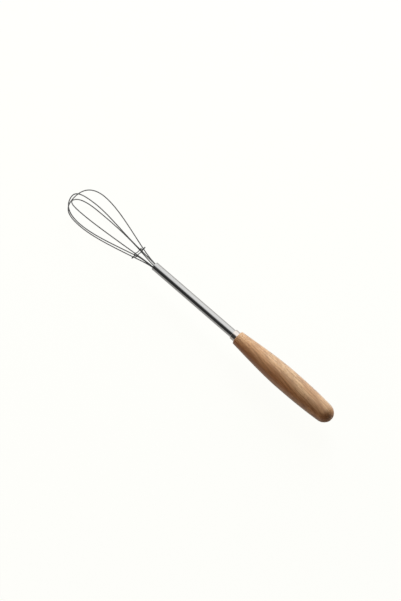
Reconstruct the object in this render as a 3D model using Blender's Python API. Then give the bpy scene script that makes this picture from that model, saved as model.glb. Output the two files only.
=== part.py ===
"""Balloon whisk: three wire loops in a slim steel tube, a wire spacer, a collar and a turned wooden handle.

The whisk lies along X. The origin is the centre of the small flat on the handle's butt, +X points towards
the wire head, and +Z is up, so that the head rests on two of its six wires. Lengths are in millimetres.
"""

import math
from collections import namedtuple

import bmesh
import bpy
from mathutils import Vector
from mathutils.geometry import interpolate_bezier

MM = 0.001  # metres in a millimetre

# Lengths along the axis
HANDLE_LENGTH = 90.6
COLLAR_LENGTH = 4.1
TUBE_EXPOSED = 76.3  # from the collar to the tube's mouth
TUBE_TAIL = 40.0  # the tube's hidden length in the handle
COLLAR_X = HANDLE_LENGTH
MOUTH_X = COLLAR_X + COLLAR_LENGTH + TUBE_EXPOSED
TAIL_X = HANDLE_LENGTH - TUBE_TAIL

# Handle
FRONT_R = 5.4
FRONT_ROUND = 0.5
BORE_R = 3.6
BORE_END_GAP = 1.5
# The handle's turned profile: knots (x, r), each with its curve handles before and after it. They are the rim
# of the small flat on the butt, the foot of the end dome, the widest place and the front.
HANDLE_PROFILE = (
    ((0.0, 1.5), None, (0.0, 3.2)),
    ((6.2, 7.2), (2.7, 6.6), (19.3, 8.35)),
    ((45.3, 8.62), (31.3, 8.62), (57.3, 8.6)),
    ((HANDLE_LENGTH - FRONT_ROUND, FRONT_R), (75.0, 6.95), None),
)

# Tube, collar and glue
TUBE_R = 3.175
TUBE_BORE_R = 2.675
LIP = 0.12  # the small chamfer on the tube's and the collar's edges
COLLAR_R = 4.0
SEAT_GAP = 0.03  # radial clearance between nested pieces
FACE_GAP = 0.05  # clearance between end faces that meet
GLUE_LENGTH = 38.0

# Wires. A distance called A runs forwards from the tube's mouth, and a place on a wire is on its centre line.
WIRE_R = 0.4
BUNDLE_R = 1.5  # how far each wire end stands from its loop's middle in the plug
PLUG_LENGTH = 15.0
PLUG_DEPTH = 0.8  # the plug's front face below the tube's mouth
WIRE_TAIL = 2.0  # the wires' length behind the plug
HOLE_R = 0.44
CUT_MARGIN = 1.0  # how far a hole's cutter stands out of the plug at each end
BEND_AHEAD = 0.2  # a wire stays straight this far out of the plug
BEND_SLOPE = 0.08  # how fast a leg leaves the axis there
FLARE_SLOPE = 0.275  # how fast the legs open where they pass the spacer
HEAD_R = 14.1
HEAD_A = 60.4
FULLNESS = 0.7  # curve handles of the arc over the head, as a share of its reach: 0.55 would make an ellipse

# Lengths of a wire's curve handles before and after its knots
END_HANDLES = (1.0, 5.0)
BEND_HANDLES = (0.1, 6.0)
SPACER_HANDLES = (4.0, 16.5)
HEAD_HANDLE = 12.6

# The loops stand about 60 degrees apart, and each is bent a little by hand. Angles are in degrees. A side is
# a shift towards +Y, and the lean is how fast that shift grows at the spacer.
Loop = namedtuple(
    "Loop", "name azimuth apex plug_turn plug_side spacer_turn spacer_lean head_side apex_side"
)
LOOPS = (
    Loop("wire_loop_inner", 61.2, 76.4, -1.2, 0.7, -4.7, -0.018, 1.23, 2.04),
    Loop("wire_loop_middle", 0, 77.45, 0, 0.2, 4, -0.007, -0.4, 1.2),
    Loop("wire_loop_outer", -60, 79.0, 15, 0.2, -7.5, 0.09, 3.25, 3.15),
)

# Spacer: a closed ring of thin wire with one narrow lobe around each of the six wires
SPACER_A = 15.1
SPACER_Y = 0.4
SPACER_WIRE_R = 0.33
SPACER_TILT = math.radians(-7)
WIRE_R_AT_SPACER = 4.75
LOBE_R = 0.85  # half the width of a lobe, on the spacer wire's centre line
LOBE_CENTRE_R = 5.42
VALLEY_R = 1.5

# Fineness of the solids
ROUND_STEPS = 24
HOLE_STEPS = 12
CURVE_STEPS = 10
PROFILE_STEPS = 8
ARC_STEPS = 5


def clear_scene():
    for item in list(bpy.data.objects):
        bpy.data.objects.remove(item)


def make_material(name, colour, roughness, metallic):
    material = bpy.data.materials.new(name)
    material.use_nodes = True
    shader = material.node_tree.nodes["Principled BSDF"]
    shader.inputs["Base Color"].default_value = (*colour, 1.0)
    shader.inputs["Roughness"].default_value = roughness
    shader.inputs["Metallic"].default_value = metallic
    material.diffuse_color = (*colour, 1.0)
    return material


def add_object(name, data, material):
    item = bpy.data.objects.new(name, data)
    data.materials.append(material)
    bpy.context.scene.collection.objects.link(item)
    return item


def bezier(start, start_handle, end_handle, end, steps):
    """Points (x, r) along a cubic, without the first one, so that stretches can be chained."""
    corners = [Vector((x, r, 0.0)) for x, r in (start, start_handle, end_handle, end)]
    return [(p.x, p.y) for p in interpolate_bezier(*corners, steps + 1)][1:]


def turned(name, outline, material, ring=False):
    """A solid of revolution about X from (x, r) points in millimetres. A ring's outline closes on itself, and
    any other solid is capped flat at its first and last points."""
    mesh = bpy.data.meshes.new(name)
    build = bmesh.new()
    turns = [math.tau * i / ROUND_STEPS for i in range(ROUND_STEPS)]
    circles = []
    for x, r in outline:
        places = [Vector((x, r * math.cos(t), r * math.sin(t))) * MM for t in turns]
        circles.append([build.verts.new(place) for place in places])
    pairs = list(zip(circles, circles[1:]))
    if ring:
        pairs.append((circles[-1], circles[0]))
    else:
        build.faces.new(circles[0])
        build.faces.new(circles[-1])
    for one, two in pairs:
        for i in range(ROUND_STEPS):
            j = (i + 1) % ROUND_STEPS
            build.faces.new((one[i], one[j], two[j], two[i]))
    bmesh.ops.recalc_face_normals(build, faces=build.faces)
    build.to_mesh(mesh)
    build.free()
    mesh.shade_smooth()
    mesh.set_sharp_from_angle(angle=math.radians(35))
    return add_object(name, mesh, material)


def wood_handle(wood):
    """Slim at the collar, widest at half its length, with a domed end that has a small flat at its centre."""
    outline = [HANDLE_PROFILE[0][0]]
    for (start, _before, leaving), (end, arriving, _after) in zip(HANDLE_PROFILE, HANDLE_PROFILE[1:]):
        outline += bezier(start, leaving, arriving, end, PROFILE_STEPS)
    outline += [(HANDLE_LENGTH, FRONT_R - FRONT_ROUND), (HANDLE_LENGTH, BORE_R)]
    outline += [(TAIL_X - BORE_END_GAP, BORE_R)]
    return turned("wood_handle", outline, wood)


def shaft_tube(steel):
    """Thin-walled tube, open at both ends, with lightly chamfered rims."""
    outline = [(TAIL_X, TUBE_BORE_R + LIP), (TAIL_X, TUBE_R - LIP), (TAIL_X + LIP, TUBE_R)]
    outline += [(MOUTH_X - LIP, TUBE_R), (MOUTH_X, TUBE_R - LIP), (MOUTH_X, TUBE_BORE_R + LIP)]
    outline += [(MOUTH_X - LIP, TUBE_BORE_R), (TAIL_X + LIP, TUBE_BORE_R)]
    return turned("shaft_tube", outline, steel, ring=True)


def ferrule_collar(steel):
    """Short ring on the tube that covers the mouth of the handle's bore."""
    back = COLLAR_X + FACE_GAP
    front = COLLAR_X + COLLAR_LENGTH
    bore_r = TUBE_R + SEAT_GAP
    outline = [(back, bore_r), (back, COLLAR_R - LIP), (back + LIP, COLLAR_R)]
    outline += [(front - 2 * LIP, COLLAR_R), (front, COLLAR_R - 2 * LIP), (front, bore_r)]
    return turned("ferrule_collar", outline, steel, ring=True)


def glue_sleeve(resin):
    """The cured glue that fills the gap between the tube's tail and the handle's bore."""
    inner_r = TUBE_R + SEAT_GAP
    outer_r = BORE_R - SEAT_GAP
    front = HANDLE_LENGTH - FACE_GAP
    back = front - GLUE_LENGTH
    outline = [(back, inner_r), (back, outer_r), (front, outer_r), (front, inner_r)]
    return turned("glue_sleeve", outline, resin, ring=True)


def cylinder(name, radius, length, steps, centre):
    """A closed cylinder along X."""
    mesh = bpy.data.meshes.new(name)
    build = bmesh.new()
    bmesh.ops.create_cone(
        build,
        cap_ends=True,
        segments=steps,
        radius1=radius * MM,
        radius2=radius * MM,
        depth=length * MM,
    )
    build.to_mesh(mesh)
    build.free()
    item = bpy.data.objects.new(name, mesh)
    item.rotation_euler = (0.0, math.radians(90), 0.0)
    item.location = Vector(centre) * MM
    bpy.context.scene.collection.objects.link(item)
    return item


def plug_places():
    """Where the six wires stand in the plug, as (y, z)."""
    places = []
    for loop in LOOPS:
        turn = math.radians(loop.azimuth + loop.plug_turn)
        for r in (BUNDLE_R, -BUNDLE_R):
            places.append((loop.plug_side + r * math.cos(turn), r * math.sin(turn)))
    return places


def wire_plug(solder):
    """The cast plug in the tube's mouth, with one hole for each of the six wire ends."""
    front = MOUTH_X - PLUG_DEPTH
    middle = front - PLUG_LENGTH / 2
    radius = TUBE_BORE_R - SEAT_GAP
    plug = turned("wire_plug", [(front - PLUG_LENGTH, radius), (front, radius)], solder)
    for number, (y, z) in enumerate(plug_places()):
        length = PLUG_LENGTH + 2 * CUT_MARGIN
        hole = cylinder(f"plug_hole_{number}", HOLE_R, length, HOLE_STEPS, (middle, y, z))
        hole.hide_render = True
        hole.display_type = "WIRE"
        cut = plug.modifiers.new(f"hole_{number}", "BOOLEAN")
        cut.operation = "DIFFERENCE"
        cut.object = hole
    return plug


def leg_knot(a, r, slope, handles, turn, side, lean):
    """A knot on one leg of a loop, then its handles before and after it, each as (a, y, z, side). Here y runs
    out in the loop's own plane, z is square to it, and side is a shift towards the whisk's +Y."""
    before, after = handles
    places = []
    for step in (0.0, -before, after):
        out = r + step * slope
        places.append((a + step, out * math.cos(turn), out * math.sin(turn), side + step * lean))
    return places


def loop_path(loop):
    """The knots of one loop in its own frame. Both ends run straight through the plug, the legs flare past
    the spacer to the head's widest place, and a full arc, rounder than an ellipse, joins them."""
    plug_turn = math.radians(loop.plug_turn)
    spacer_turn = math.radians(loop.spacer_turn)
    end_a = -PLUG_DEPTH - PLUG_LENGTH - WIRE_TAIL
    bend_a = BEND_AHEAD - PLUG_DEPTH
    head_handles = (HEAD_HANDLE, FULLNESS * (loop.apex - HEAD_A))
    head_lean = loop.head_side / HEAD_A
    end = leg_knot(end_a, BUNDLE_R, 0.0, END_HANDLES, plug_turn, loop.plug_side, 0.0)
    bend = leg_knot(bend_a, BUNDLE_R, BEND_SLOPE, BEND_HANDLES, plug_turn, loop.plug_side, 0.0)
    lean = loop.spacer_lean
    passing = leg_knot(SPACER_A, WIRE_R_AT_SPACER, FLARE_SLOPE, SPACER_HANDLES, spacer_turn, SPACER_Y, lean)
    widest = leg_knot(HEAD_A, HEAD_R, 0.0, head_handles, 0.0, loop.head_side, head_lean)
    arc_reach = FULLNESS * HEAD_R
    top = [(loop.apex, y, 0.0, loop.apex_side) for y in (0.0, arc_reach, -arc_reach)]
    leg = [end, bend, passing, widest]
    other_leg = []
    for point, before, after in reversed(leg):
        other_leg.append([(a, -y, -z, side) for a, y, z, side in (point, after, before)])
    return leg + [top] + other_leg


def wire_loop(loop, steel):
    """One loop of wire, turned to its azimuth."""
    azimuth = math.radians(loop.azimuth)
    curve = bpy.data.curves.new(loop.name, "CURVE")
    curve.dimensions = "3D"
    curve.bevel_depth = WIRE_R * MM
    curve.bevel_resolution = 2
    curve.use_fill_caps = True
    curve.resolution_u = CURVE_STEPS
    curve.render_resolution_u = 0
    spline = curve.splines.new("BEZIER")
    path = loop_path(loop)
    spline.bezier_points.add(len(path) - 1)
    for knot, places in zip(spline.bezier_points, path):
        knot.handle_left_type = "FREE"
        knot.handle_right_type = "FREE"
        knot.co, knot.handle_left, knot.handle_right = [
            Vector((a, y + side * math.cos(azimuth), z - side * math.sin(azimuth))) * MM
            for a, y, z, side in places
        ]
    item = add_object(loop.name, curve, steel)
    item.location = (MOUTH_X * MM, 0.0, 0.0)
    item.rotation_euler = (azimuth, 0.0, 0.0)
    return item


def wire_azimuths():
    """The six wires' azimuths about the spacer's centre, in rising order."""
    azimuths = []
    for loop in LOOPS:
        azimuth = math.radians(loop.azimuth + loop.spacer_turn)
        azimuths += [azimuth, azimuth + math.pi]
    return sorted(azimuths)


def arc(centre_r, azimuth, radius, start, end):
    """Points (y, z) on a circle whose centre lies centre_r from the axis, at the given azimuth."""
    turns = [start + (end - start) * i / ARC_STEPS for i in range(ARC_STEPS + 1)]
    y = centre_r * math.cos(azimuth)
    z = centre_r * math.sin(azimuth)
    return [(y + radius * math.cos(azimuth + t), z + radius * math.sin(azimuth + t)) for t in turns]


def wire_spacer(steel):
    """The lobed ring: a narrow round lobe goes out around each wire, and a valley comes in before the next
    lobe."""
    lobes = wire_azimuths()
    path = []
    for lobe, following in zip(lobes, lobes[1:] + [lobes[0] + math.tau]):
        half_pitch = (following - lobe) / 2
        reach = math.pi / 2 - half_pitch
        valley_r = (VALLEY_R + LOBE_R) / math.sin(half_pitch)
        path += arc(LOBE_CENTRE_R, lobe, LOBE_R, -math.pi / 2, math.pi / 2)
        path += arc(valley_r, lobe + half_pitch, VALLEY_R, math.pi + reach, math.pi - reach)

    curve = bpy.data.curves.new("wire_spacer", "CURVE")
    curve.dimensions = "3D"
    curve.bevel_depth = SPACER_WIRE_R * MM
    curve.bevel_resolution = 1
    curve.render_resolution_u = 0
    spline = curve.splines.new("POLY")
    spline.points.add(len(path) - 1)
    for knot, (y, z) in zip(spline.points, path):
        knot.co = (0.0, y * MM, z * MM, 1.0)
    spline.use_cyclic_u = True
    item = add_object("wire_spacer", curve, steel)
    item.location = ((MOUTH_X + SPACER_A) * MM, SPACER_Y * MM, 0.0)
    item.rotation_euler = (0.0, 0.0, SPACER_TILT)
    return item


def build_whisk():
    clear_scene()
    wood = make_material("beech", (0.56, 0.33, 0.17), 0.5, 0.0)
    tube_steel = make_material("polished_steel", (0.62, 0.62, 0.61), 0.16, 1.0)
    wire_steel = make_material("wire_steel", (0.5, 0.5, 0.49), 0.28, 1.0)
    solder = make_material("solder", (0.42, 0.42, 0.4), 0.55, 1.0)
    resin = make_material("resin", (0.7, 0.6, 0.38), 0.4, 0.0)

    wood_handle(wood)
    glue_sleeve(resin)
    ferrule_collar(tube_steel)
    shaft_tube(tube_steel)
    wire_plug(solder)
    for loop in LOOPS:
        wire_loop(loop, wire_steel)
    wire_spacer(wire_steel)


build_whisk()
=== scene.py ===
"""Looks of the balloon whisk: fine meshes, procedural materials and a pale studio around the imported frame.

The whisk lies along X with its wire head at +X, and +Z is up. Lengths are in millimetres unless a comment
says otherwise, and MM turns them into Blender's metres.
"""

import math
from collections import namedtuple

import bmesh
import bpy
from mathutils import Matrix, Vector
from mathutils.geometry import interpolate_bezier


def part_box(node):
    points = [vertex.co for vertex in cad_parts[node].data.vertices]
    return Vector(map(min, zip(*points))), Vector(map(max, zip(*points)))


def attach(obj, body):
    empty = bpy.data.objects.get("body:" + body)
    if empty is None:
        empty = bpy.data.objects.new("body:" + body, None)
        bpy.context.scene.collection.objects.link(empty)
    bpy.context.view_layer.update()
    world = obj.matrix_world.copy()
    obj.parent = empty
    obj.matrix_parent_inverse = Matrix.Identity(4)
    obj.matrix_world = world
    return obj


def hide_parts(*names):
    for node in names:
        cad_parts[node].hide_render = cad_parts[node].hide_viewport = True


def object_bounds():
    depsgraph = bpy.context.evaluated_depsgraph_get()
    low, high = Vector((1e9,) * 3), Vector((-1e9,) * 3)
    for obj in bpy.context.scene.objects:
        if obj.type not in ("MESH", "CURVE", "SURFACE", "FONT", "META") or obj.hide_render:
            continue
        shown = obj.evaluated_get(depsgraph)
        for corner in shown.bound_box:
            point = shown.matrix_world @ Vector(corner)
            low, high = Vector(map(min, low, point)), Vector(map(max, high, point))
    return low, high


MM = 0.001

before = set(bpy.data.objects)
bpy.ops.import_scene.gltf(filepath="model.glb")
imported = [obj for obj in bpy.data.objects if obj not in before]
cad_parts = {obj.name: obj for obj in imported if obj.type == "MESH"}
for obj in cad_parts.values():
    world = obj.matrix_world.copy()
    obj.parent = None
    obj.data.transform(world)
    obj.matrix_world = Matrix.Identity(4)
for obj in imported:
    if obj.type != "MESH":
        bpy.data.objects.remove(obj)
cad_bounds = [list(corner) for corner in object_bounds()]


def box_mm(node):
    """A CAD node's lowest and highest corners in millimetres."""
    low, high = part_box(node)
    return low / MM, high / MM


# Places and sizes that come from the frame
HANDLE_FRONT_X = box_mm("wood_handle")[1].x
TUBE_LOW, TUBE_HIGH = box_mm("shaft_tube")
COLLAR_LOW, COLLAR_HIGH = box_mm("ferrule_collar")
GLUE_R = box_mm("glue_sleeve")[1].z
PLUG_HIGH = box_mm("wire_plug")[1]
MOUTH_X = TUBE_HIGH.x

# Handle. Its profile is the CAD handle's: knots (x, r), each with its curve handles before and after it. The
# knots are the rim of the small flat on the butt, the foot of the end dome, the widest place and the front.
FRONT_R = 5.4
FRONT_ROUND = 0.5
FRONT_ROUND_START = 84  # degrees from +X, where the rounding takes over from the slope of the neck
HANDLE_PROFILE = (
    ((0.0, 1.5), None, (0.0, 3.2)),
    ((6.2, 7.2), (2.7, 6.6), (19.3, 8.35)),
    ((45.3, 8.62), (31.3, 8.62), (57.3, 8.6)),
    ((HANDLE_FRONT_X - FRONT_ROUND, FRONT_R), (75.0, 6.95), None),
)
BORE_CHAMFER = 0.15
BORE_END_GAP = 1.5  # the bore goes on this far behind the tube's tail

# Collar, and the radial clearance between nested pieces
SHOULDER_ROUND = 0.35
HEEL_ROUND = 0.12
SEAT_GAP = 0.03

# Wires, as on the CAD loops. A distance called A runs forwards from the tube's mouth.
WIRE_R = 0.4
BUNDLE_R = 1.5  # how far each wire end stands from its loop's middle in the plug
BEND_AHEAD = 0.2  # a wire stays straight this far out of the plug
BEND_SLOPE = 0.08  # how fast a leg leaves the axis there
FLARE_SLOPE = 0.275  # how fast the legs open where they pass the spacer
HEAD_R = 14.1
HEAD_A = 60.4
FULLNESS = 0.7  # curve handles of the arc over the head, as a share of its reach: 0.55 makes an ellipse

# Lengths of a wire's curve handles before and after its knots
END_HANDLES = (1.0, 5.0)
BEND_HANDLES = (0.1, 6.0)
SPACER_HANDLES = (4.0, 16.5)
HEAD_HANDLE = 12.6

# The loops stand about 60 degrees apart, and each is bent a little by hand. Angles are in degrees. A side
# is a shift towards +Y, and the lean is how fast that shift grows at the spacer.
Loop = namedtuple("Loop", "node azimuth plug_turn plug_side spacer_turn spacer_lean head_side apex_side")
LOOPS = (
    Loop("wire_loop_inner", 61.2, -1.2, 0.7, -4.7, -0.018, 1.23, 2.04),
    Loop("wire_loop_middle", 0, 0, 0.2, 4, -0.007, -0.4, 1.2),
    Loop("wire_loop_outer", -60, 15, 0.2, -7.5, 0.09, 3.25, 3.15),
)

# Spacer: a closed ring of thin wire with one narrow lobe around each of the six wires
SPACER_A = 15.1
SPACER_Y = 0.4
SPACER_WIRE_R = 0.33
SPACER_TILT = math.radians(-7)
WIRE_R_AT_SPACER = 4.75
LOBE_R = 0.85
LOBE_CENTRE_R = 5.42
VALLEY_R = 1.5

# Fineness of the meshes
ROUND_SEGMENTS = 96
PROFILE_STEPS = (22, 26, 30)
ARC_STEPS = 5
RIM_STEPS = 8
LOBE_STEPS = 12
CURVE_STEPS = 24
WIRE_BEVEL_STEPS = 5
SPACER_BEVEL_STEPS = 4
SHARP_ANGLE = math.radians(40)

# Beech. Its colours are linear.
GRAIN_SLANT = (0.0, math.radians(2.0), math.radians(7.0))
PITH_OFFSET = (0.0, 31.0, 19.0)  # from the tree's pith to the middle of the handle
RINGS_PER_MM = 0.55
RING_WAVER = 3.5  # how many rings they wander by at the most
PALE = (0.73, 0.445, 0.23)
TAN = (0.63, 0.33, 0.145)
BROWN = (0.28, 0.115, 0.045)
FLECK_BROWN = (0.2, 0.085, 0.035)
END_TAN = (0.62, 0.24, 0.075)

# A noise mostly stays inside this range
NOISE_LOW = 0.3
NOISE_HIGH = 0.7

# Camera: the whisk's tip points away from it by the tilt, it stands a little to the +Y side and is rolled
CAMERA_LENS = 800.0
CAMERA_SENSOR = 36.0
CAMERA_TILT = math.radians(11.0)
CAMERA_SIDE = math.radians(10.2)
CAMERA_ROLL = math.radians(40.86)
FRAME_HEIGHT = 431.9  # what the picture's height spans at the whisk
AIM_FROM_MOUTH = 42.16  # the picture's middle lies this far behind the tube's mouth
AIM_SIDE = 2.8  # and this far to the -Y side of the axis
CLIP_END = 60000.0

# Studio. A lamp's place is counted from the middle of the handle and tube, and its power is in watts.
FLOOR_SIZE = 6000.0
FLOOR_GAP = 0.2  # between the floor and the whisk's lowest place
BACKDROP_COLOUR = (0.991, 0.991, 0.956)
FLOOR_GLOW = 0.98  # the floor's own light to the camera
FLOOR_GREY = 0.03  # what it reflects of the lamps, which leaves a faint shade under the whisk
# The table's glow is painted light that only the whisk sees: no lamp lights it, it is brighter on the -Y
# side as if the key lit the table there, and darker on the +Y side as painted shade.
TABLE_COLOUR = (1.0, 0.98, 0.95)
TABLE_FADE = 8.0  # half the width over which the table's glow changes from the -Y side to the +Y side
MIRRORED_PAINTED_LIGHT = (0.6, 0.4)  # on those two sides, as reflections see it
SCATTERED_PAINTED_LIGHT = (1.0, 0.05)  # on those two sides, as matt surfaces get it
SOFTBOX_COLOUR = (1.0, 1.0, 1.0)
FLAG_COLOUR = (0.035, 0.035, 0.035)
SOFTBOX_EDGE = (math.radians(-20), math.radians(18))  # it comes up here, from overhead towards -Y
END_FADE = (-0.9, 0.1)  # and here, by a direction's X, from the butt's end on
END_LEVEL = 0.15  # how bright it still is at the butt's end
Lamp = namedtuple("Lamp", "name place size power colour")
LAMPS = (
    Lamp("key", (460, -710, 365), 600, 17.5, (0.8, 0.92, 1.0)),
    Lamp("fill", (460, 610, 515), 400, 2.6, (1.0, 0.72, 0.5)),
)


# --- meshes ---------------------------------------------------------------------------------------


def bezier(start, start_handle, end_handle, end, steps):
    """Points (x, r) along a cubic, without the first one, so that stretches can be chained."""
    corners = [Vector((x, r, 0.0)) for x, r in (start, start_handle, end_handle, end)]
    return [(p.x, p.y) for p in interpolate_bezier(*corners, steps + 1)][1:]


def rounded(centre, radius, start, end, steps=ARC_STEPS):
    """Points (x, r) on an arc, with its angles in degrees from +X."""
    turns = [math.radians(start + (end - start) * i / steps) for i in range(steps + 1)]
    return [(centre[0] + radius * math.cos(t), centre[1] + radius * math.sin(t)) for t in turns]


def turned(name, outline, ring=False):
    """A solid of revolution about X from (x, r) points.

    A ring's outline closes on itself, and any other solid is capped flat at its first and last points.
    """
    mesh = bpy.data.meshes.new(name)
    build = bmesh.new()
    turns = [math.tau * i / ROUND_SEGMENTS for i in range(ROUND_SEGMENTS)]
    circles = []
    for x, r in outline:
        places = [(x * MM, r * MM * math.cos(t), r * MM * math.sin(t)) for t in turns]
        circles.append([build.verts.new(place) for place in places])
    pairs = list(zip(circles, circles[1:]))
    if ring:
        pairs.append((circles[-1], circles[0]))
    else:
        build.faces.new(circles[0])
        build.faces.new(circles[-1])
    for one, two in pairs:
        for i in range(ROUND_SEGMENTS):
            j = (i + 1) % ROUND_SEGMENTS
            build.faces.new((one[i], one[j], two[j], two[i]))
    bmesh.ops.recalc_face_normals(build, faces=build.faces)
    build.to_mesh(mesh)
    build.free()
    mesh.shade_smooth()
    mesh.set_sharp_from_angle(angle=SHARP_ANGLE)
    piece = bpy.data.objects.new(name, mesh)
    bpy.context.scene.collection.objects.link(piece)
    return piece


def ride_as(piece, node, material):
    """Rides a new piece on the whisk in place of a CAD node, with its finish."""
    piece.data.materials.append(material)
    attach(piece, "root")
    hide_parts(node)


def make_handle():
    """The turned handle, with its blind bore open at the front."""
    bore_r = GLUE_R + SEAT_GAP
    bore_end = TUBE_LOW.x - BORE_END_GAP
    round_x, front_r = HANDLE_PROFILE[-1][0]
    outline = [HANDLE_PROFILE[0][0]]
    for one, two, steps in zip(HANDLE_PROFILE, HANDLE_PROFILE[1:], PROFILE_STEPS):
        outline += bezier(one[0], one[2], two[1], two[0], steps)
    outline += rounded((round_x, front_r - FRONT_ROUND), FRONT_ROUND, FRONT_ROUND_START, 0)
    outline += [(HANDLE_FRONT_X, bore_r + BORE_CHAMFER), (HANDLE_FRONT_X - BORE_CHAMFER, bore_r)]
    outline += [(bore_end, bore_r)]
    return turned("handle_turned", outline)


def make_tube():
    """Thin-walled tube with softly rounded rims."""
    wall = TUBE_HIGH.z - PLUG_HIGH.z - SEAT_GAP
    middle_r = TUBE_HIGH.z - wall / 2
    outline = rounded((TUBE_HIGH.x - wall / 2, middle_r), wall / 2, 90, -90, RIM_STEPS)
    outline += rounded((TUBE_LOW.x + wall / 2, middle_r), wall / 2, -90, -270, RIM_STEPS)
    return turned("tube_drawn", outline, ring=True)


def make_collar():
    """Plain ring with a rounded front shoulder."""
    inner_r = TUBE_HIGH.z + SEAT_GAP
    heel = (COLLAR_LOW.x + HEEL_ROUND, COLLAR_HIGH.z - HEEL_ROUND)
    shoulder = (COLLAR_HIGH.x - SHOULDER_ROUND, COLLAR_HIGH.z - SHOULDER_ROUND)
    outline = [(COLLAR_LOW.x, inner_r)]
    outline += rounded(heel, HEEL_ROUND, 180, 90)
    outline += rounded(shoulder, SHOULDER_ROUND, 90, 0, RIM_STEPS)
    outline += [(COLLAR_HIGH.x, inner_r)]
    return turned("collar_ring", outline, ring=True)


def curve_piece(name, kind, wire_r, bevel_steps):
    """A new wire curve, and its one spline, which is still to be filled."""
    curve = bpy.data.curves.new(name, "CURVE")
    curve.dimensions = "3D"
    curve.bevel_depth = wire_r * MM
    curve.bevel_resolution = bevel_steps
    curve.use_fill_caps = True
    curve.resolution_u = CURVE_STEPS
    piece = bpy.data.objects.new(name, curve)
    bpy.context.scene.collection.objects.link(piece)
    return piece, curve.splines.new(kind)


def leg_knot(a, r, slope, handles, turn, side, lean):
    """A knot on one leg of a loop, then its handles before and after it, each as (a, y, z, side).

    Here y runs out in the loop's own plane, z is square to it, and side is a shift towards the whisk's +Y.
    """
    before, after = handles
    places = []
    for step in (0.0, -before, after):
        out = r + step * slope
        places.append((a + step, out * math.cos(turn), out * math.sin(turn), side + step * lean))
    return places


def loop_path(loop):
    """The knots of one loop in its own frame, with its ends and its apex from the CAD node's box."""
    low, high = box_mm(loop.node)
    plug_turn = math.radians(loop.plug_turn)
    spacer_turn = math.radians(loop.spacer_turn)
    apex = high.x - WIRE_R - MOUTH_X
    end_a = low.x - MOUTH_X
    bend_a = PLUG_HIGH.x + BEND_AHEAD - MOUTH_X
    head_handles = (HEAD_HANDLE, FULLNESS * (apex - HEAD_A))
    head_lean = loop.head_side / HEAD_A
    end = leg_knot(end_a, BUNDLE_R, 0.0, END_HANDLES, plug_turn, loop.plug_side, 0.0)
    bend = leg_knot(bend_a, BUNDLE_R, BEND_SLOPE, BEND_HANDLES, plug_turn, loop.plug_side, 0.0)
    flare = (SPACER_A, WIRE_R_AT_SPACER, FLARE_SLOPE, SPACER_HANDLES)
    passing = leg_knot(*flare, spacer_turn, SPACER_Y, loop.spacer_lean)
    widest = leg_knot(HEAD_A, HEAD_R, 0.0, head_handles, 0.0, loop.head_side, head_lean)
    arc_reach = FULLNESS * HEAD_R
    top = [(apex, y, 0.0, loop.apex_side) for y in (0.0, arc_reach, -arc_reach)]
    leg = [end, bend, passing, widest]
    other_leg = []
    for point, before, after in reversed(leg):
        other_leg.append([(a, -y, -z, side) for a, y, z, side in (point, after, before)])
    return leg + [top] + other_leg


def make_loop(loop):
    """One loop of wire. Its own frame stands at the tube's mouth, turned to the loop's azimuth."""
    azimuth = math.radians(loop.azimuth)
    name = loop.node.replace("wire_loop", "loop")
    piece, spline = curve_piece(name, "BEZIER", WIRE_R, WIRE_BEVEL_STEPS)
    path = loop_path(loop)
    spline.bezier_points.add(len(path) - 1)
    for knot, places in zip(spline.bezier_points, path):
        knot.handle_left_type = "FREE"
        knot.handle_right_type = "FREE"
        knot.co, knot.handle_left, knot.handle_right = [
            Vector((a, y + side * math.cos(azimuth), z - side * math.sin(azimuth))) * MM
            for a, y, z, side in places
        ]
    piece.location = (MOUTH_X * MM, 0.0, 0.0)
    piece.rotation_euler = (azimuth, 0.0, 0.0)
    return piece


def wire_azimuths():
    """The six wires' azimuths about the spacer's centre, in rising order."""
    azimuths = []
    for loop in LOOPS:
        azimuth = math.radians(loop.azimuth + loop.spacer_turn)
        azimuths += [azimuth, azimuth + math.pi]
    return sorted(azimuths)


def spacer_arc(centre_r, azimuth, radius, start, end):
    """Points (y, z) on a circle whose centre lies centre_r from the axis, at the given azimuth."""
    turns = [azimuth + start + (end - start) * i / LOBE_STEPS for i in range(LOBE_STEPS + 1)]
    y = centre_r * math.cos(azimuth)
    z = centre_r * math.sin(azimuth)
    return [(y + radius * math.cos(t), z + radius * math.sin(t)) for t in turns]


def make_spacer():
    """The lobed ring: a narrow lobe goes out around each wire, and a valley comes in before the next."""
    lobes = wire_azimuths()
    path = []
    for lobe, following in zip(lobes, lobes[1:] + [lobes[0] + math.tau]):
        half_pitch = (following - lobe) / 2
        reach = math.pi / 2 - half_pitch
        valley_r = (VALLEY_R + LOBE_R) / math.sin(half_pitch)
        path += spacer_arc(LOBE_CENTRE_R, lobe, LOBE_R, -math.pi / 2, math.pi / 2)
        path += spacer_arc(valley_r, lobe + half_pitch, VALLEY_R, math.pi + reach, math.pi - reach)
    piece, spline = curve_piece("spacer_ring", "POLY", SPACER_WIRE_R, SPACER_BEVEL_STEPS)
    spline.points.add(len(path) - 1)
    for knot, (y, z) in zip(spline.points, path):
        knot.co = (0.0, y * MM, z * MM, 1.0)
    spline.use_cyclic_u = True
    piece.location = ((MOUTH_X + SPACER_A) * MM, SPACER_Y * MM, 0.0)
    piece.rotation_euler = (0.0, 0.0, SPACER_TILT)
    return piece


# --- materials ------------------------------------------------------------------------------------


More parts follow.
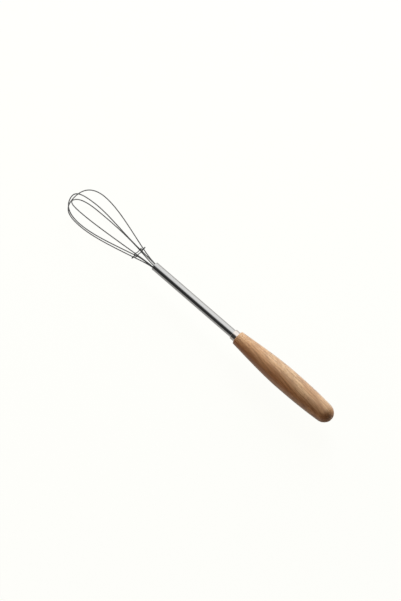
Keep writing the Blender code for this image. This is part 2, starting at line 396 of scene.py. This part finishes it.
class Nodes:
    """A short way to add and wire up shader nodes in one tree."""

    def __init__(self, tree):
        self.tree = tree

    def fill(self, node, inputs):
        """Fills a node's inputs, by name or by number, each with a socket to link or a plain value."""
        for key, value in inputs.items():
            if isinstance(value, bpy.types.NodeSocket):
                self.tree.links.new(value, node.inputs[key])
            else:
                node.inputs[key].default_value = value

    def add(self, kind, inputs=None, **settings):
        """A new node of a kind, with its settings and inputs."""
        node = self.tree.nodes.new("ShaderNode" + kind)
        for key, value in settings.items():
            setattr(node, key, value)
        self.fill(node, inputs or {})
        return node

    def maths(self, operation, one, two):
        """The result of an operation on two numbers."""
        return self.add("Math", {0: one, 1: two}, operation=operation).outputs[0]

    def span(self, value, low, high, to_low=0.0, to_high=1.0):
        """Maps a value from low..high to to_low..to_high, clamped, with soft ends."""
        inputs = {"Value": value, "From Min": low, "From Max": high, "To Min": to_low, "To Max": to_high}
        return self.add("MapRange", inputs, interpolation_type="SMOOTHSTEP").outputs[0]

    def spread(self, noise, to_low=0.0, to_high=1.0):
        """Maps the usual range of a noise to to_low..to_high."""
        return self.span(noise, NOISE_LOW, NOISE_HIGH, to_low, to_high)

    def mix(self, factor, one, two):
        """A colour mix. A plain colour is (r, g, b). The Mix node takes its colours at inputs 6 and 7."""
        one, two = [(*value, 1.0) if isinstance(value, tuple) else value for value in (one, two)]
        return self.add("Mix", {0: factor, 6: one, 7: two}, data_type="RGBA").outputs[2]

    def tint(self, colour, other, pattern, strength):
        """A colour that is tinted towards another one by a pattern from 0 to 1, times a strength."""
        return self.mix(self.maths("MULTIPLY", pattern, strength), colour, other)

    def blend(self, factor, one, two):
        """A mix of two numbers, which the Mix node takes at inputs 2 and 3."""
        return self.add("Mix", {0: factor, 2: one, 3: two}, data_type="FLOAT").outputs[0]

    def scaled(self, vector, scale, offset=(0.0, 0.0, 0.0)):
        """A vector stretched by a scale in units per millimetre."""
        factors = tuple(s / MM for s in scale)
        return self.add("Mapping", {"Vector": vector, "Location": offset, "Scale": factors}).outputs[0]

    def noise(self, vector, scale, offset=(0.0, 0.0, 0.0), detail=2.0, roughness=0.5):
        """A noise from 0 to 1, with its scale in units per millimetre."""
        stretched = self.scaled(vector, scale, offset)
        inputs = {"Vector": stretched, "Scale": 1.0, "Detail": detail, "Roughness": roughness}
        return self.add("TexNoise", inputs).outputs["Fac"]

    def place(self):
        """The place on the object."""
        return self.add("TexCoord").outputs["Object"]

    def bump(self, height, strength, depth):
        """A normal for relief that is up to a depth in millimetres."""
        inputs = {"Strength": strength, "Distance": depth * MM, "Height": height}
        return self.add("Bump", inputs).outputs[0]


def new_material(name):
    """A material with its Principled shader, and a helper on its tree."""
    material = bpy.data.materials.new(name)
    material.use_nodes = True
    shader = material.node_tree.nodes["Principled BSDF"]
    return material, shader, Nodes(material.node_tree)


def growth_rings(n, grain):
    """The dark late wood of the growth rings, from 0 to 1."""
    waver = n.noise(grain, (0.012, 0.06, 0.06))
    from_pith = n.scaled(grain, (0.0, 1.0, 1.0), PITH_OFFSET)
    distance = n.add("VectorMath", {0: from_pith}, operation="LENGTH").outputs["Value"]
    even_rings = n.maths("MULTIPLY", distance, RINGS_PER_MM)
    rings = n.maths("ADD", even_rings, n.maths("MULTIPLY", waver, RING_WAVER))
    return n.span(n.maths("PINGPONG", rings, 0.5), 0.25, 0.48)


def beech():
    """Oiled beech with growth rings about a slightly slanted pith line.

    Over them lie streaks, fine fibres and short dark ray flecks. The butt shows darker end grain.
    """
    material, shader, n = new_material("beech")
    grain = n.add("Mapping", {"Vector": n.place(), "Rotation": GRAIN_SLANT}).outputs[0]
    late_wood = growth_rings(n, grain)
    cloud = n.noise(grain, (0.03, 0.14, 0.14), offset=(2.0, 5.0, 9.0))
    broad = n.span(cloud, 0.36, 0.64)
    lines = n.noise(grain, (0.05, 0.8, 0.8), offset=(7.0, 3.0, 1.0), detail=3.0, roughness=0.6)
    streak = n.span(lines, 0.42, 0.64)
    fibre = n.noise(grain, (0.08, 3.0, 3.0), detail=3.0, roughness=0.6)
    dark_fibre = n.span(fibre, 0.38, 0.68)
    facing = n.add("SeparateXYZ", {0: n.add("NewGeometry").outputs["Normal"]}).outputs["X"]
    end_grain = n.span(facing, -0.75, -0.2, 1.0, 0.0)
    side_grain = n.maths("SUBTRACT", 1.0, end_grain)
    cell_place = n.scaled(grain, (0.22, 1.2, 1.2))
    cells = n.add("TexVoronoi", {"Vector": cell_place, "Scale": 1.0}).outputs["Distance"]
    fleck = n.maths("MULTIPLY", n.span(cells, 0.12, 0.24, 1.0, 0.0), side_grain)

    colour = n.mix(broad, PALE, TAN)
    colour = n.tint(colour, BROWN, late_wood, strength=0.42)
    colour = n.tint(colour, BROWN, streak, strength=0.55)
    colour = n.tint(colour, BROWN, dark_fibre, strength=0.48)
    colour = n.tint(colour, FLECK_BROWN, fleck, strength=0.75)
    colour = n.tint(colour, END_TAN, end_grain, strength=0.5)
    relief = n.maths("SUBTRACT", n.maths("MULTIPLY", fibre, 0.6), n.maths("MULTIPLY", fleck, 0.5))
    n.fill(shader, {
        "Base Color": colour,
        "Roughness": n.spread(fibre, 0.40, 0.54),
        "Specular IOR Level": 0.6,
        "Coat Weight": n.maths("MULTIPLY", side_grain, 0.7),
        "Coat Roughness": 0.3,
        "Sheen Weight": n.maths("MULTIPLY", side_grain, 0.4),
        "Sheen Roughness": 0.5,
        "Normal": n.bump(relief, strength=0.25, depth=0.05),
    })
    return material


def drawn_steel(name, colour, roughness, marks):
    """Bright steel with faint draw marks along X and a soft change of polish."""
    material, shader, n = new_material(name)
    lines = n.noise(n.place(), (0.02, 9.0, 9.0), roughness=0.6)
    cloud = n.noise(n.place(), (0.08, 0.3, 0.3))
    darker = tuple(0.86 * c for c in colour)
    polish = n.spread(cloud, 0.8 * roughness, 1.2 * roughness)
    n.fill(shader, {
        "Base Color": n.mix(n.span(lines, 0.3, 0.75), colour, darker),
        "Roughness": n.maths("ADD", polish, n.maths("MULTIPLY", lines, 0.04)),
        "Metallic": 1.0,
        "Normal": n.bump(lines, strength=marks, depth=0.01),
    })
    return material


def solder():
    """Dull cast metal with a slightly uneven face."""
    material, shader, n = new_material("solder")
    grain = n.noise(n.place(), (1.6, 1.6, 1.6), detail=4.0, roughness=0.6)
    n.fill(shader, {
        "Base Color": n.mix(n.spread(grain), (0.34, 0.34, 0.33), (0.46, 0.45, 0.43)),
        "Roughness": n.spread(grain, 0.45, 0.65),
        "Metallic": 1.0,
        "Normal": n.bump(grain, strength=0.4, depth=0.05),
    })
    return material


def glue():
    """Cured amber resin, a little cloudy."""
    material, shader, n = new_material("glue")
    cloud = n.noise(n.place(), (0.5, 0.5, 0.5), detail=3.0)
    n.fill(shader, {
        "Base Color": n.mix(n.spread(cloud), (0.62, 0.45, 0.22), (0.74, 0.6, 0.36)),
        "Roughness": n.spread(cloud, 0.25, 0.45),
    })
    return material


# --- studio ---------------------------------------------------------------------------------------


def table_top():
    """The floor: evenly nearly white to the camera, and to the whisk a glowing table of painted light.

    The glow that the whisk gets is painted light, brighter on the key's side, -Y, and painted shade on the
    +Y side.
    """
    material = bpy.data.materials.new("floor")
    material.use_nodes = True
    material.node_tree.nodes.clear()
    n = Nodes(material.node_tree)
    ray = n.add("LightPath").outputs
    shown = n.add("Emission", {"Color": (*BACKDROP_COLOUR, 1.0), "Strength": FLOOR_GLOW})
    lit = n.add("BsdfDiffuse", {"Color": (FLOOR_GREY, FLOOR_GREY, FLOOR_GREY, 1.0)})
    seen = n.add("AddShader", {0: shown.outputs[0], 1: lit.outputs[0]})
    side = n.add("SeparateXYZ", {0: n.add("NewGeometry").outputs["Position"]}).outputs["Y"]
    fade = (-TABLE_FADE * MM, TABLE_FADE * MM)
    # Painted light and shade: the table's glow rises from the +Y side to the -Y side.
    mirrored = n.span(side, *fade, *MIRRORED_PAINTED_LIGHT)
    scattered = n.span(side, *fade, *SCATTERED_PAINTED_LIGHT)
    glow = n.blend(ray["Is Diffuse Ray"], mirrored, scattered)
    table = n.add("Emission", {"Color": (*TABLE_COLOUR, 1.0), "Strength": glow})
    both = n.add("MixShader", {0: ray["Is Camera Ray"], 1: table.outputs[0], 2: seen.outputs[0]})
    n.add("OutputMaterial", {"Surface": both.outputs[0]})
    return material


def make_floor():
    """A wide square floor just under the whisk."""
    mesh = bpy.data.meshes.new("floor")
    half = FLOOR_SIZE / 2 * MM
    build = bmesh.new()
    corners = ((-half, -half), (half, -half), (half, half), (-half, half))
    build.faces.new([build.verts.new((x, y, 0.0)) for x, y in corners])
    build.to_mesh(mesh)
    build.free()
    mesh.materials.append(table_top())
    floor = bpy.data.objects.new("floor", mesh)
    bpy.context.scene.collection.objects.link(floor)
    floor.location = (0.0, 0.0, cad_bounds[0][2] - FLOOR_GAP * MM)


def make_world():
    """A white backdrop for the camera, and a studio for reflections.

    Reflections see a wide softbox over the -Y side, which fades towards the butt, and a dark flag over the
    +Y side. The world doesn't light matt surfaces: the lamps and the table's glow do.
    """
    world = bpy.data.worlds.new("studio")
    bpy.context.scene.world = world
    world.use_nodes = True
    world.node_tree.nodes.clear()
    n = Nodes(world.node_tree)
    direction = n.add("SeparateXYZ", {0: n.add("TexCoord").outputs["Generated"]}).outputs
    away = n.maths("MULTIPLY", direction["Y"], -1.0)
    swing = n.maths("ARCTAN2", away, direction["Z"])
    softbox = n.span(swing, *SOFTBOX_EDGE)
    end_fade = n.span(direction["X"], *END_FADE, END_LEVEL, 1.0)
    sky = n.mix(n.maths("MULTIPLY", softbox, end_fade), FLAG_COLOUR, SOFTBOX_COLOUR)
    ray = n.add("LightPath").outputs
    colour = n.mix(ray["Is Camera Ray"], sky, BACKDROP_COLOUR)
    strength = n.maths("SUBTRACT", 1.0, ray["Is Diffuse Ray"])
    shader = n.add("Background", {"Color": colour, "Strength": strength})
    n.add("OutputWorld", {"Surface": shader.outputs[0]})


def make_lamp(lamp):
    """A square lamp, aimed at the middle of the handle and tube. Reflections and the camera don't see it."""
    middle = Vector((MOUTH_X / 2, 0.0, 0.0))
    light = bpy.data.lights.new(lamp.name, "AREA")
    light.color = lamp.colour
    light.shape = "SQUARE"
    light.size = lamp.size * MM
    light.energy = lamp.power
    item = bpy.data.objects.new(lamp.name, light)
    item.location = (middle + Vector(lamp.place)) * MM
    item.rotation_mode = "QUATERNION"
    item.rotation_quaternion = (-Vector(lamp.place)).to_track_quat("-Z", "Y")
    item.visible_glossy = False
    item.visible_camera = False
    bpy.context.scene.collection.objects.link(item)


def make_camera():
    """A long lens above the whisk, whose axis runs up to the left in the picture."""
    camera = bpy.data.cameras.new("camera")
    camera.lens = CAMERA_LENS
    camera.sensor_width = CAMERA_SENSOR
    camera.sensor_fit = "AUTO"
    camera.clip_end = CLIP_END * MM
    back = Vector((-math.sin(CAMERA_TILT), math.sin(CAMERA_SIDE), math.cos(CAMERA_SIDE)))
    back.yz *= math.cos(CAMERA_TILT)
    sideways = Vector((0.0, -math.cos(CAMERA_SIDE), math.sin(CAMERA_SIDE)))
    along = back.cross(sideways)
    right = -math.cos(CAMERA_ROLL) * along + math.sin(CAMERA_ROLL) * sideways
    up = math.sin(CAMERA_ROLL) * along + math.cos(CAMERA_ROLL) * sideways
    distance = FRAME_HEIGHT * CAMERA_LENS / CAMERA_SENSOR
    aim = Vector((MOUTH_X - AIM_FROM_MOUTH, 0.0, 0.0)) + AIM_SIDE * sideways
    turn = Matrix((right, up, back)).transposed().to_4x4()
    item = bpy.data.objects.new("camera", camera)
    item.matrix_world = Matrix.Translation((aim + distance * back) * MM) @ turn
    bpy.context.scene.collection.objects.link(item)
    bpy.context.scene.camera = item


# --- the scene ------------------------------------------------------------------------------------


polished_steel = drawn_steel("polished_steel", (0.71, 0.71, 0.70), roughness=0.13, marks=0.3)
# The collar's warm, brighter colour is a painted reflection of the wooden handle and a painted highlight,
# not the steel's own tone.
collar_steel_painted_reflection = drawn_steel("collar_steel_painted_reflection", (0.97, 0.89, 0.83), roughness=0.12, marks=0.3)
# The wires' colour is painted shade: far darker than bare steel, it stands in for the dark reflections they
# show.
wire_steel = drawn_steel("wire_steel", (0.2, 0.2, 0.197), roughness=0.22, marks=0.2)

ride_as(make_handle(), "wood_handle", beech())
ride_as(make_tube(), "shaft_tube", polished_steel)
ride_as(make_collar(), "ferrule_collar", collar_steel_painted_reflection)
for loop in LOOPS:
    ride_as(make_loop(loop), loop.node, wire_steel)
ride_as(make_spacer(), "wire_spacer", wire_steel)

# The two hidden pieces stay as the CAD made them, with finishes of their own
for node, material in (("wire_plug", solder()), ("glue_sleeve", glue())):
    hidden_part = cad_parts[node]
    hidden_part.data.materials.clear()
    hidden_part.data.materials.append(material)

make_floor()
make_world()
for lamp in LAMPS:
    make_lamp(lamp)
make_camera()
bpy.context.scene.view_settings.view_transform = "Standard"
